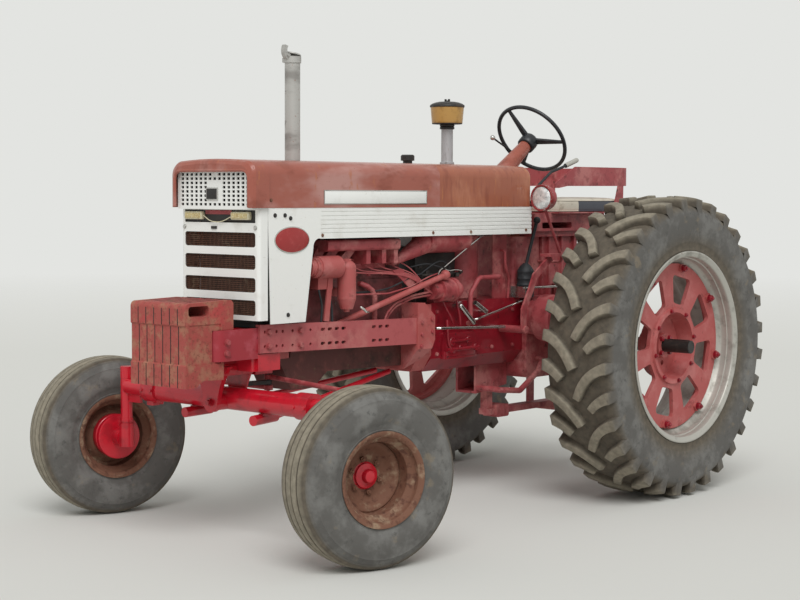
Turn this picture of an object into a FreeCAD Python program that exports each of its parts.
"""Farm tractor of the row-crop kind, with an adjustable wide front axle and suitcase weights.

Millimetres. +X points forward, +Y to the tractor's left, +Z up. The origin is on the
ground below the middle of the whole machine. Stations along the machine are given from the
rear axle (A), the front axle (B) or the nose (F), so that a longer wheelbase stretches what
lies between.
"""
import FreeCAD, Part
import math
import os

Vector = FreeCAD.Vector

# Wheels and their places
WHEELBASE = 2366.0
REAR_TYRE_R = 800.0
REAR_TYRE_WIDTH = 412.0
REAR_TRACK = 1658.0
REAR_RIM_FLANGE_R = 508.0
REAR_RIM_WIDTH = 390.0
FRONT_TYRE_R = 394.0
FRONT_TYRE_WIDTH = 254.0
FRONT_TRACK = 1874.0
FRONT_RIM_FLANGE_R = 209.0
FRONT_RIM_WIDTH = 236.0
KINGPIN_Y = 727.0
STEER_REST = -15.0          # degrees to the left, so the wheels stand turned to the right
RUNNING_GAP = 0.3           # radial gap of every pin and shaft that turns

# Tyre treads. Both kinds of tyre are rings of flat facets that stand on a facet or on two bars.
FRONT_TREAD_HALF = 88.0
FRONT_CROWN_DROP = 10.0
FRONT_SIDES = 20
FRONT_GROOVE_Y = 44.0
FRONT_GROOVE_HALF = 7.0
FRONT_GROOVE_DEPTH = 11.0
REAR_SIDES = 24
BARS_PER_HALF = 32
BAR_HEIGHT = 38.0
BAR_FLARE = 6.0             # how much wider each side of a bar is at its foot
BAR_SUNK = 12.0             # how far a bar's foot reaches into the carcass

# The turned left front tyre's shoulder reaches furthest forward and the rear tyres furthest back
WEIGHT_REACH = 407.0
TURN = math.radians(-STEER_REST)
FRONT_REACH = ((FRONT_TRACK / 2 - KINGPIN_Y + FRONT_TREAD_HALF) * math.sin(TURN)
               + (FRONT_TYRE_R - FRONT_CROWN_DROP) * math.cos(TURN))
REAR_AXLE_X = (REAR_TYRE_R - WHEELBASE - FRONT_REACH) / 2
FRONT_AXLE_X = REAR_AXLE_X + WHEELBASE
NOSE_AHEAD = 24.0           # the nose's own station lies this far ahead of the front axle
A = REAR_AXLE_X
B = FRONT_AXLE_X
F = FRONT_AXLE_X + NOSE_AHEAD

# Frame rails
RAIL_Y = 215.0
RAIL_WEB = 12.0
RAIL_FLANGE = 28.0
RAIL_HEIGHT = 130.0
RAIL_FRONT_X = F - 18.0
RAIL_FRONT_TOP = 1004.0
RAIL_REAR_TOP = 979.0

# Bonnet, tank and nose
HOOD_HALF = 262.0
HOOD_BOTTOM = 1537.0
HOOD_TOP = 1760.0
HOOD_SHOULDER = 62.0
HOOD_CROWN = 9.0
SHEET = 3.0
COWL_HALF = 275.0
COWL_FRONT_X = F + 88.0
COWL_REAR_X = F - 20.0
HOOD_SEAM_X = A + 1149.0
TANK_REAR_X = A + 372.0
PANEL_GAP = 0.4
MOUTH_HALF = 244.0
MOUTH_TOP = 1704.0
SCREEN_BACK = 34.0          # how far the screen stands behind the nose
SCREEN_SHEET = 6.0
GRILLE_X = F + 30.0
GRILLE_BOTTOM = 1026.0
GRILLE_HALF = 258.0
STRIP_BOTTOM = 1392.0
LEG_BOTTOM = 1008.0

# Engine and gearbox
ENGINE_FRONT_X = F - 320.0
BELL_FRONT_X = A + 1270.0
RAIL_REAR_X = BELL_FRONT_X + PANEL_GAP
BELL_REAR_X = A + 1110.0
CASE_REAR_X = A + 330.0
ENGINE_HALF = 115.0
BLOCK_BOTTOM = 850.0
BLOCK_TOP = 1180.0
HEAD_TOP = 1375.0
COVER_TOP = 1470.0
CASE_HALF = 170.0
CASE_BOTTOM = 688.0
CASE_TOP = 1045.0
BOX_TOP = 1371.0
BOX_HALF = 130.0
BEAM_FLOOR = 1400.0
SEAT_FLOOR = 1498.0
BELL_HALF = 176.0
HOUSING_HALF = 200.0
HOUSING_REAR_X = A - 240.0
HOUSING_BOTTOM = 600.0
SHAFT_R = 34.0
SHAFT_SEAT_R = 36.0
HUB_Y = 846.0
DISC_Y = 926.0
SHAFT_END_Y = 1037.0
CARRIER_END_Y = 560.0

# Front axle
BEAM_Z = 654.0
BEAM_R = 53.0
BEAM_HALF = 528.0
EXTENSION_R = 38.0
KINGPIN_R = 19.0
KINGPIN_TUBE_R = 29.0
KINGPIN_TOP = 694.0
KINGPIN_BOTTOM = 480.0
ARM_LENGTH = 135.0
TIE_ROD_Z = 712.0
STEERING_ARM_X = F - 120.0
TIE_ROD_STEP = 26.0

# Steering wheel
STEER_HUB = Vector(A + 40.0, 0.0, 1906.0)
STEER_TILT = 36.0           # degrees that the column rises towards the driver
STEER_WHEEL_R = 222.0

os.makedirs("parts", exist_ok=True)


# Shape helpers

def edges_of(place, start, steps):
    """Edges through (u, v) points: a step of one point is a line, of two an arc."""
    here = start
    made = []
    for step in steps:
        if len(step) == 1:
            made.append(Part.LineSegment(place(here), place(step[0])).toShape())
        else:
            made.append(Part.Arc(place(here), place(step[0]), place(step[1])).toShape())
        here = step[-1]
    if place(here).distanceToPoint(place(start)) > 1e-6:
        made.append(Part.LineSegment(place(here), place(start)).toShape())
    return made


def sheet_face(place, start, steps):
    return Part.Face(Part.Wire(edges_of(place, start, steps)))


def side_form(y0, y1, start, *steps):
    """A side view outline of (x, z) points, pushed from y0 to y1."""
    face = sheet_face(lambda p: Vector(p[0], y0, p[1]), start, steps)
    return face.extrude(Vector(0, y1 - y0, 0))


def front_form(x0, x1, start, *steps):
    """A front view outline of (y, z) points, pushed from x0 to x1."""
    face = sheet_face(lambda p: Vector(x0, p[0], p[1]), start, steps)
    return face.extrude(Vector(x1 - x0, 0, 0))


def plan_form(z0, z1, start, *steps):
    """A plan outline of (x, y) points, pushed from z0 to z1."""
    face = sheet_face(lambda p: Vector(p[0], p[1], z0), start, steps)
    return face.extrude(Vector(0, 0, z1 - z0))


def turned(centre, start, *steps):
    """A profile of (offset along Y, radius) points, turned about the Y axis through centre."""
    face = sheet_face(lambda p: centre + Vector(0, p[0], p[1]), start, steps)
    return face.revolve(centre, Vector(0, 1, 0), 360)


def block(x0, x1, y0, y1, z0, z1):
    return Part.makeBox(x1 - x0, y1 - y0, z1 - z0, Vector(x0, y0, z0))


def bar(start, end, radius):
    return Part.makeCylinder(radius, (end - start).Length, start, end - start)


def upright_turned(x, y, start, *steps):
    """A profile of (radius, z) points, turned about the upright line through x and y."""
    face = sheet_face(lambda p: Vector(x + p[0], y, p[1]), start, steps)
    return face.revolve(Vector(x, y, 0), Vector(0, 0, 1), 360)


def lengthwise_turned(y, z, start, *steps):
    """A profile of (x, radius) points, turned about the lengthwise line through y and z."""
    face = sheet_face(lambda p: Vector(p[0], y, z + p[1]), start, steps)
    return face.revolve(Vector(0, y, z), Vector(1, 0, 0), 360)


def strap(y0, y1, half, points):
    """A flat bar that follows (x, z) points, half as wide as given to each side, from y0 to y1."""
    left, right = [], []
    for i, (x, z) in enumerate(points):
        before = points[max(i - 1, 0)]
        after = points[min(i + 1, len(points) - 1)]
        into = Vector(x - before[0], 0, z - before[1])
        out = Vector(after[0] - x, 0, after[1] - z)
        along = (into.normalize() if into.Length > 0 else Vector()) + \
                (out.normalize() if out.Length > 0 else Vector())
        along.normalize()
        steps = into if into.Length > 0 else out
        reach = half / max(0.5, along.dot(steps))
        left.append((x - along.z * reach, z + along.x * reach))
        right.append((x + along.z * reach, z - along.x * reach))
    outline = left + right[::-1]
    return side_form(y0, y1, outline[0], *[(p,) for p in outline[1:]])


def flat_solid(polygons):
    """A closed solid from flat polygons."""
    faces = [Part.Face(Part.makePolygon(points + points[:1])) for points in polygons]
    solid = Part.Solid(Part.Shell(faces))
    if solid.Volume < 0:
        solid.reverse()
    return solid


def rounded(shape, radius, direction):
    """Rounds the straight edges that run along a direction."""
    chosen = []
    for edge in shape.Edges:
        if isinstance(edge.Curve, Part.Line):
            if abs(abs(edge.tangentAt(edge.FirstParameter).dot(direction)) - 1) < 1e-6:
                chosen.append(edge)
    return shape.makeFillet(radius, chosen)


def bent_rod(points, radius, bend):
    """A round rod along straight runs that are joined by arcs of one bend radius."""
    edges = []
    here = points[0]
    for before, corner, after in zip(points, points[1:], points[2:]):
        into = (corner - before).normalize()
        out = (after - corner).normalize()
        turn = into.getAngle(out)
        reach = bend * math.tan(turn / 2)
        first = corner - into * reach
        last = corner + out * reach
        middle = corner + (out - into).normalize() * (bend / math.cos(turn / 2) - bend)
        edges.append(Part.LineSegment(here, first).toShape())
        edges.append(Part.Arc(first, middle, last).toShape())
        here = last
    edges.append(Part.LineSegment(here, points[-1]).toShape())
    path = Part.Wire(edges)
    circle = Part.Wire(Part.makeCircle(radius, points[0], points[1] - points[0]))
    return path.makePipeShell([circle], True, False)


def mitred_rod(points, radius, cut):
    """A round rod along straight runs, each corner cut off by a short run between two mitres."""
    path = [points[0]]
    for before, corner, after in zip(points, points[1:], points[2:]):
        path.append(corner + (before - corner).normalize() * cut)
        path.append(corner + (after - corner).normalize() * cut)
    path.append(points[-1])
    wire = Part.makePolygon(path)
    circle = Part.Wire(Part.makeCircle(radius, points[0], points[1] - points[0]))
    return wire.makePipeShell([circle], True, False, 1)


def mirrored(shape):
    return shape.mirror(Vector(0, 0, 0), Vector(0, 1, 0))


def pair(shape):
    return Part.makeCompound([shape, mirrored(shape)])


def joined(shapes):
    return shapes[0].multiFuse(shapes[1:]).removeSplitter()


def cut_all(shape, tools):
    return shape.cut(Part.makeCompound(tools))


def save(name, shape):
    shape.exportStep("parts/" + name + ".step")
    print(name, len(shape.Solids), "solids", round(shape.Volume / 1e6, 2), "litres", shape.isValid())


# Wheels

def facet_ring(centre, sides, profile):
    """A closed (offset along Y, radius) profile carried round in flat facets, one of them lowest."""
    polygons = []
    for first, last in zip(profile, profile[1:] + profile[:1]):
        for step in range(sides):
            ends = []
            for (offset, radius), turn in ((first, step), (last, step), (last, step + 1), (first, step + 1)):
                angle = math.pi * (2 * turn + 1) / sides - math.pi / 2
                corner_r = radius / math.cos(math.pi / sides)
                ends.append(centre + Vector(corner_r * math.cos(angle), offset, corner_r * math.sin(angle)))
            polygons.append(ends)
    return flat_solid(polygons)


def tyre_profile(width, bead_r, flange_r, bead_half, crown):
    """Beads, bulging sidewalls and a crown given as (offset, radius) points from left to right."""
    shoulder_r = crown[0][1]
    bulge_r = flange_r + 0.45 * (shoulder_r - flange_r)
    left = [(bead_half, bead_r), (bead_half, flange_r), (width / 2, bulge_r)]
    right = [(-width / 2, bulge_r), (-bead_half, flange_r), (-bead_half, bead_r)]
    return left + crown + right


def front_crown():
    """Four ribs with three grooves between them."""
    edge_r = FRONT_TYRE_R - FRONT_CROWN_DROP
    points = [(FRONT_TREAD_HALF, edge_r)]
    for y in (FRONT_GROOVE_Y, 0.0, -FRONT_GROOVE_Y):
        rib_r = FRONT_TYRE_R - FRONT_CROWN_DROP * (y / FRONT_TREAD_HALF) ** 2
        points += [(y + FRONT_GROOVE_HALF, rib_r), (y, rib_r - FRONT_GROOVE_DEPTH),
                   (y - FRONT_GROOVE_HALF, rib_r)]
    return points + [(-FRONT_TREAD_HALF, edge_r)]


# A bar's path from the tyre's middle to its shoulder: arc along the tread, offset from the middle,
# radius below the tips, half the width of its top
LONG_BAR = [(0.0, 5.0, 0.0, 21.0), (178.0, 197.0, 15.0, 28.0)]
SHORT_BAR = [(110.0, 86.0, 3.0, 22.0), (178.0, 197.0, 15.0, 28.0)]
SHOULDER_PAST = 3.0         # how far the carcass's shoulder lies past the bars' ends


def bar_stations(path, angle, half_side, tip_r):
    """Corners of a bar at each point of its path: two on top, then two at the foot."""
    stations = []
    for i, (arc, offset, drop, half) in enumerate(path):
        before = path[max(i - 1, 0)]
        after = path[min(i + 1, len(path) - 1)]
        along = Vector(after[0] - before[0], after[1] - before[1], 0).normalize()
        last = i == len(path) - 1
        corners = []
        for lift, grow in ((0.0, 0.0), (BAR_HEIGHT + BAR_SUNK, BAR_FLARE)):
            radius = tip_r - drop - lift
            for way in (1, -1):
                reach = way * (half + grow)
                turn = angle + (arc - along.y * reach) / tip_r
                out = offset + along.x * reach * (0.0 if last else 1.0)
                corners.append(Vector(radius * math.cos(turn), half_side * out, radius * math.sin(turn)))
        stations.append(corners)
    return stations


def tread_bars(tip_r):
    """Stations of every bar: long and short ones in turn, the two halves a step apart."""
    step = 2 * math.pi / BARS_PER_HALF
    bars = []
    for half_side in (1, -1):
        for i in range(BARS_PER_HALF):
            angle = -math.pi / 2 + (i + 0.5 * half_side) * step
            path = LONG_BAR if i % 2 == 0 else SHORT_BAR
            bars.append(bar_stations(path, angle, half_side, tip_r))
    return bars


def bar_solid(stations, centre):
    """A bar of flat triangles between its stations."""
    polygons = []
    for near, far in zip(stations, stations[1:]):
        for a, b in ((0, 1), (1, 3), (3, 2), (2, 0)):
            polygons.append([near[a], near[b], far[b]])
            polygons.append([near[a], far[b], far[a]])
    for end in (stations[0], stations[-1]):
        polygons.append([end[0], end[1], end[3]])
        polygons.append([end[0], end[3], end[2]])
    return flat_solid([[centre + corner for corner in points] for points in polygons])


def rear_tyre(centre):
    """Carcass with alternate long and short bars, let out so that the lowest ones stand on the ground."""
    trial = tread_bars(REAR_TYRE_R)
    reach = max(-corner.z for stations in trial for corners in stations for corner in corners)
    tip_r = REAR_TYRE_R * REAR_TYRE_R / reach
    base_r = tip_r - BAR_HEIGHT
    shoulder_y, shoulder_drop = LONG_BAR[-1][1] + SHOULDER_PAST, LONG_BAR[-1][2] + 4.0
    crown = [(shoulder_y, base_r - shoulder_drop), (0.0, base_r), (-shoulder_y, base_r - shoulder_drop)]
    bead_half = REAR_RIM_WIDTH / 2 - RIM_SHEET - PANEL_GAP
    profile = tyre_profile(REAR_TYRE_WIDTH, REAR_BEAD_R + PANEL_GAP, REAR_RIM_FLANGE_R + 2, bead_half,
                           crown)
    carcass = facet_ring(centre, REAR_SIDES, profile)
    return carcass.multiFuse([bar_solid(stations, centre) for stations in tread_bars(tip_r)])


REAR_BEAD_R = REAR_RIM_FLANGE_R - 25.0
FRONT_BEAD_R = FRONT_RIM_FLANGE_R - 18.0
RIM_SHEET = 8.0


def rim(centre, flange_r, bead_r, width, well_r, well_half):
    """A pressed rim: flanges, bead seats and a drop well, one sheet thick."""
    half = width / 2
    t = RIM_SHEET
    outer = [(half, flange_r), (half - t, flange_r), (half - t, bead_r), (well_half + 30, bead_r),
             (well_half, well_r), (-well_half, well_r), (-well_half - 30, bead_r),
             (-half + t, bead_r), (-half + t, flange_r), (-half, flange_r), (-half, bead_r - t),
             (-well_half - 30, bead_r - t), (-well_half, well_r - t), (well_half, well_r - t),
             (well_half + 30, bead_r - t), (half, bead_r - t)]
    return turned(centre, outer[0], *[(p,) for p in outer[1:]])


def rear_wheel(side, name):
    """The rear wheel on one side: side is 1 on the left and -1 on the right."""
    centre = Vector(A, side * REAR_TRACK / 2, REAR_TYRE_R)
    rubber = rear_tyre(Vector(A, REAR_TRACK / 2, REAR_TYRE_R))
    save("rear_tyre_" + name, rubber if side > 0 else mirrored(rubber))
    well_r = REAR_BEAD_R - 34.0
    save("rear_rim_" + name, rim(centre, REAR_RIM_FLANGE_R, REAR_BEAD_R, REAR_RIM_WIDTH, well_r, 80.0))
    save("rear_centre_" + name, rear_centre(side, well_r - RIM_SHEET))
    start = Vector(A, side * (CARRIER_END_Y - 60), REAR_TYRE_R)
    step = Vector(A, side * (HUB_Y + 30), REAR_TYRE_R)
    end = Vector(A, side * SHAFT_END_Y, REAR_TYRE_R)
    save("axle_shaft_" + name, joined([bar(start, step, SHAFT_SEAT_R), bar(step, end, SHAFT_R)]))


SPOKES = 8
SPOKE_START = 10.0
WINDOW_INNER_R = 225.0
WINDOW_BAND = 68.0          # cast band between the windows and the rim
DISC_THICK = 22.0
BOSS_R = 68.0
CLAMP_HALF = 24.0
CLAMP_REACH = 42.0          # how far each rim clamp reaches in from the rim
PAN_HOLES = [(97.0, 78.0), (97.0, 19.0), (97.0, 258.0), (97.0, 199.0)]    # radius, angle from the front
PAN_HOLE_R = 14.0


def rear_centre(side, rim_inside):
    """Cast centre: a ring of windows and spokes outboard, a pan sunk towards the hub."""
    centre = Vector(A, 0, REAR_TYRE_R)
    t = DISC_THICK
    ring = rim_inside - 1.0
    shell = turned(
        centre, (DISC_Y, ring),
        ((DISC_Y, 205.0),), ((DISC_Y + 12, 200.0),), ((DISC_Y + 12, 180.0),),
        ((HUB_Y, 165.0),), ((HUB_Y, BOSS_R),), ((HUB_Y + 30, BOSS_R - 4),),
        ((HUB_Y + 30, SHAFT_SEAT_R + PANEL_GAP),), ((HUB_Y - 90, SHAFT_SEAT_R + PANEL_GAP),),
        ((HUB_Y - 90, 80.0),), ((HUB_Y - t, 95.0),), ((HUB_Y - t, 170.0),),
        ((DISC_Y - t, 195.0),), ((DISC_Y - t, rim_inside - 30),), ((DISC_Y - 60, rim_inside - 24),),
        ((DISC_Y - 60, ring),))
    windows = []
    window_outer_r = rim_inside - WINDOW_BAND
    half = math.radians(180.0 / SPOKES - 8.0)
    for i in range(SPOKES):
        angle = SPOKE_START + (i + 0.5) * 360.0 / SPOKES
        inner_half = WINDOW_INNER_R * math.sin(half) * 0.9
        outer_half = window_outer_r * math.sin(half)
        window = plan_form(-100, 100, (WINDOW_INNER_R, -inner_half), ((window_outer_r, -outer_half),),
                           ((window_outer_r, outer_half),), ((WINDOW_INNER_R, inner_half),))
        window = rounded(window, 22.0, Vector(0, 0, 1))
        window.rotate(Vector(0, 0, 0), Vector(0, 0, 1), 180.0 - angle)
        window.rotate(Vector(0, 0, 0), Vector(1, 0, 0), 90.0)
        window.translate(Vector(A, DISC_Y, REAR_TYRE_R))
        windows.append(window)
    for radius, angle in PAN_HOLES:
        turn = math.radians(angle)
        place = Vector(A + radius * math.cos(turn), HUB_Y - t - 1, REAR_TYRE_R + radius * math.sin(turn))
        windows.append(bar(place, place + Vector(0, t + 2, 0), PAN_HOLE_R))
    casting = cut_all(shell, windows)
    clamps = []
    for i in range(SPOKES):
        clamp = block(ring - CLAMP_REACH, ring - 2, -CLAMP_HALF, CLAMP_HALF, -1.0, 12.0)
        clamp = rounded(clamp, 8.0, Vector(0, 0, 1))
        clamp.rotate(Vector(0, 0, 0), Vector(0, 0, 1), 180.0 - SPOKE_START - i * 360.0 / SPOKES)
        clamp.rotate(Vector(0, 0, 0), Vector(1, 0, 0), -90.0)
        clamp.translate(Vector(A, DISC_Y, REAR_TYRE_R))
        clamps.append(clamp)
    casting = casting.multiFuse(clamps)
    return casting if side > 0 else mirrored(casting)


def steered(shape, side):
    """Turns a shape about its kingpin to where the wheels stand at rest."""
    shape.rotate(Vector(B, side * KINGPIN_Y, 0), Vector(0, 0, 1), STEER_REST)
    return shape


FRONT_DISC_Y = 8.0
DRUM_R = 108.0
HUB_R = 62.0
CAP_R = 32.0
SPINDLE_R = 24.0


def front_wheel(side, name):
    """The front wheel on one side, a tyre on a dished disc wheel with its hub."""
    centre = Vector(B, side * FRONT_TRACK / 2, FRONT_TYRE_R)
    bead_half = FRONT_RIM_WIDTH / 2 - RIM_SHEET - PANEL_GAP
    profile = tyre_profile(FRONT_TYRE_WIDTH, FRONT_BEAD_R + PANEL_GAP, FRONT_RIM_FLANGE_R + 2, bead_half,
                           front_crown())
    save("front_tyre_" + name, steered(facet_ring(centre, FRONT_SIDES, profile), side))
    well_r = FRONT_BEAD_R - 26.0
    wheel = rim(centre, FRONT_RIM_FLANGE_R, FRONT_BEAD_R, FRONT_RIM_WIDTH, well_r, 55.0)
    y = side * FRONT_DISC_Y
    disc = turned(centre, (y - 5, well_r - 4), ((y + 5, well_r - 4),), ((y - 25 * side + 5, 110),),
                  ((y - 25 * side + 5, 0),), ((y - 25 * side - 5, 0),), ((y - 25 * side - 5, 110),))
    hub_back = centre + Vector(0, side * -95, 0)
    hub_front = centre + Vector(0, side * 20, 0)
    cap_round = centre + Vector(0, side * 42, 0)
    drum = bar(centre + Vector(0, side * -84, 0), centre + Vector(0, side * -30, 0), DRUM_R)
    hub = joined([bar(hub_back, hub_front, HUB_R), bar(hub_front, cap_round, CAP_R), drum,
                  Part.makeCone(CAP_R, CAP_R - 10, 8, cap_round, Vector(0, side, 0))])
    socket = bar(hub_back, hub_back + Vector(0, side * 90, 0), SPINDLE_R + RUNNING_GAP)
    whole = joined([wheel, disc, hub]).cut(socket)
    save("front_wheel_" + name, steered(whole, side))


def knuckle(side, name):
    """Kingpin, spindle block and stub axle below, steering arm on top."""
    x, y = B, side * KINGPIN_Y
    pin = bar(Vector(x, y, KINGPIN_BOTTOM - 60), Vector(x, y, KINGPIN_TOP + 40), KINGPIN_R)
    foot = bar(Vector(x, y, FRONT_TYRE_R - 38), Vector(x, y, KINGPIN_BOTTOM - 10), 37.0)
    collar = bar(Vector(x, y, KINGPIN_BOTTOM - 10), Vector(x, y, KINGPIN_BOTTOM - RUNNING_GAP), 30.0)
    reach = FRONT_TRACK / 2 - KINGPIN_Y
    stub_end = Vector(x, y + side * (reach - 10), FRONT_TYRE_R)
    stub = bar(Vector(x, y, FRONT_TYRE_R), stub_end, SPINDLE_R)
    flange_start = Vector(x, y + side * 20, FRONT_TYRE_R)
    flange = bar(flange_start, Vector(x, y + side * (reach - 97), FRONT_TYRE_R), 44.0)
    z0 = KINGPIN_TOP + RUNNING_GAP
    boss = bar(Vector(x, y, z0), Vector(x, y, z0 + 58), 30.0)
    arm_z = TIE_ROD_Z + 22
    arm = plan_form(arm_z, arm_z + 18, (x, y + 24), ((x - ARM_LENGTH, y + 16),),
                    ((x - ARM_LENGTH - 16, y), (x - ARM_LENGTH, y - 16)), ((x, y - 24),))
    stud = bar(Vector(x - ARM_LENGTH, y, TIE_ROD_Z - 18), Vector(x - ARM_LENGTH, y, arm_z + 10), 9.0)
    save("knuckle_" + name, steered(joined([pin, foot, collar, stub, flange, boss, arm, stud]), side))


# Front axle and steering linkage

def front_axle():
    """Centre tube with the pivot boss, and slotted clamp ends."""
    left = Vector(B, BEAM_HALF, BEAM_Z)
    right = Vector(B, -BEAM_HALF, BEAM_Z)
    shapes = [bar(right, left, BEAM_R)]
    for side in (1, -1):
        start = Vector(B, side * (BEAM_HALF - 60), BEAM_Z)
        end = Vector(B, side * (BEAM_HALF + 30), BEAM_Z)
        shapes.append(bar(start, end, BEAM_R + 9))
        shapes.append(block(B - 22, B + 22, side * BEAM_HALF - 22, side * BEAM_HALF + 22,
                            BEAM_Z - BEAM_R - 24, BEAM_Z))
    shapes.append(bar(Vector(B - 53, 0, BEAM_Z - 12), Vector(B + 86, 0, BEAM_Z - 12), 40.0))
    axle = joined(shapes)
    bore = bar(right - Vector(0, 60, 0), left + Vector(0, 60, 0), EXTENSION_R + PANEL_GAP)
    pivot = bar(Vector(B - 66, 0, BEAM_Z - 12), Vector(B + 96, 0, BEAM_Z - 12), 18.0 + PANEL_GAP)
    core = bar(Vector(B, -60, BEAM_Z), Vector(B, 60, BEAM_Z), EXTENSION_R + 1)
    save("front_axle", axle.cut(bore).fuse(core).cut(pivot))


def axle_extensions():
    """The telescoping tubes that carry the upright kingpin tubes."""
    start = Vector(B, 200, BEAM_Z)
    end = Vector(B, KINGPIN_Y - 15, BEAM_Z)
    upright = bar(Vector(B, KINGPIN_Y, KINGPIN_BOTTOM), Vector(B, KINGPIN_Y, KINGPIN_TOP), KINGPIN_TUBE_R)
    lip = bar(Vector(B, KINGPIN_Y, KINGPIN_BOTTOM), Vector(B, KINGPIN_Y, KINGPIN_BOTTOM + 14), KINGPIN_TUBE_R + 4)
    web = block(B - 8, B + 8, KINGPIN_Y - 110, KINGPIN_Y - 15, BEAM_Z - 75, BEAM_Z)
    bore = bar(Vector(B, KINGPIN_Y, KINGPIN_BOTTOM - 5), Vector(B, KINGPIN_Y, KINGPIN_TOP + 5),
               KINGPIN_R + RUNNING_GAP)
    save("axle_extensions", pair(joined([bar(start, end, EXTENSION_R), upright, lip, web]).cut(bore)))


STAY_Y = 230.0
STAY_Z = 572.0
STAY_R = 24.0
STAY_REAR = Vector(A + 1290, 45, 700)


def axle_stays():
    """Two radius rods from lugs below the beam back to the front of the gearbox."""
    front = Vector(B + 66, STAY_Y, STAY_Z)
    knee = Vector(B - 90, STAY_Y - 12, STAY_Z + 6)
    lug = block(B - 16, B + 16, STAY_Y - 14, STAY_Y + 14, STAY_Z, BEAM_Z - BEAM_R - 0.3)
    rod = joined([bar(front, knee, STAY_R), bar(knee, STAY_REAR, 14.0), lug])
    save("axle_stays", pair(rod))


POST_R = 17.0


def steering_linkage():
    """Centre arm under the bolster and two tie rods, arms and rods in parallel."""
    post = bar(Vector(STEERING_ARM_X, 0, TIE_ROD_Z - 9), Vector(STEERING_ARM_X, 0, BOLSTER_BOTTOM + 36), POST_R)
    arm = plan_form(TIE_ROD_Z - 9, TIE_ROD_Z + 9, (STEERING_ARM_X, 26),
                    ((STEERING_ARM_X - ARM_LENGTH, 16),),
                    ((STEERING_ARM_X - ARM_LENGTH - 16, 0), (STEERING_ARM_X - ARM_LENGTH, -16)),
                    ((STEERING_ARM_X, -26),), ((STEERING_ARM_X + 26, 0), (STEERING_ARM_X, 26)))
    stud = bar(Vector(STEERING_ARM_X - ARM_LENGTH, 0, TIE_ROD_Z - TIE_ROD_STEP - 14),
               Vector(STEERING_ARM_X - ARM_LENGTH, 0, TIE_ROD_Z + TIE_ROD_STEP + 14), 9.0)
    pitman = joined([post, arm, stud])
    pitman.rotate(Vector(STEERING_ARM_X, 0, 0), Vector(0, 0, 1), STEER_REST)
    save("steering_arm", pitman)
    for side, name in ((1, "left"), (-1, "right")):
        inner_z = TIE_ROD_Z + side * TIE_ROD_STEP
        swing = math.radians(STEER_REST)
        back = Vector(-ARM_LENGTH * math.cos(swing), -ARM_LENGTH * math.sin(swing), 0)
        inner = Vector(STEERING_ARM_X, 0, inner_z) + back
        outer = Vector(B, side * KINGPIN_Y, TIE_ROD_Z) + back
        along = (outer - inner).normalize()
        shapes = [bar(inner + along * 18, outer - along * 18, 12.0),
                  bar(outer - along * 150, outer - along * 60, 17.0)]
        for end in (inner, outer):
            shapes.append(bar(end - Vector(0, 0, 11), end + Vector(0, 0, 11), 21.0))
        bores = [bar(end - Vector(0, 0, 20), end + Vector(0, 0, 20), 9.0 + RUNNING_GAP)
                 for end in (inner, outer)]
        save("tie_rod_" + name, cut_all(joined(shapes), bores))


# Frame, weights and nose

def rail_opening(x, z, length):
    """A hole through the rail's web, drawn out lengthwise by its length."""
    r, half = SLOT_R, length / 2
    outline = [((x + half, z - r),)] if half else []
    outline.append(((x + half + r, z), (x + half, z + r)))
    outline += [((x - half, z + r),)] if half else []
    outline.append(((x - half - r, z), (x - half, z - r)))
    return side_form(RAIL_Y - 30, RAIL_Y + 10, (x - half, z - r), *outline)


def frame_rails():
    """Two channel rails, open inwards, that run down a little towards the rear."""
    x0, x1 = RAIL_REAR_X, RAIL_FRONT_X
    t = RAIL_WEB

    def strip(drop, height, y0, y1):
        return side_form(y0, y1, (x0, RAIL_REAR_TOP - drop), ((x1, RAIL_FRONT_TOP - drop),),
                         ((x1, RAIL_FRONT_TOP - drop - height),), ((x0, RAIL_REAR_TOP - drop - height),))

    web = strip(0, RAIL_HEIGHT, RAIL_Y - t, RAIL_Y)
    top = strip(0, t, RAIL_Y - RAIL_FLANGE, RAIL_Y)
    low = strip(RAIL_HEIGHT - t, t, RAIL_Y - RAIL_FLANGE, RAIL_Y)
    holes = []
    slope = (RAIL_FRONT_TOP - RAIL_REAR_TOP) / (x1 - x0)
    for stations, length in ((RAIL_HOLES, 0.0), (RAIL_SLOTS, SLOT_LENGTH)):
        for x in stations:
            for drop in RAIL_ROWS:
                holes.append(rail_opening(x, RAIL_FRONT_TOP + slope * (x - x1) - drop, length))
    save("frame_rails", pair(cut_all(joined([web, top, low]), holes)))


RAIL_ROWS = (33.0, 100.0)
RAIL_HOLES = [F - 50, F - 125, F - 165, F - 230, F - 282, F - 350]
RAIL_SLOTS = [F - 435, F - 483, F - 532, F - 579, F - 797, F - 846, F - 895]
SLOT_R = 7.5
SLOT_LENGTH = 16.0


BOLSTER_FRONT_X = F + 10.0
BOLSTER_REAR_X = F - 160.0
BOLSTER_BOTTOM = 790.0
BOLSTER_TOP = RAIL_FRONT_TOP - 20
EAR_HALF = 46.0
EAR_TOP = BOLSTER_BOTTOM + 22
SHELF_BOTTOM = TIE_ROD_Z + TIE_ROD_STEP + 20


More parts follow.
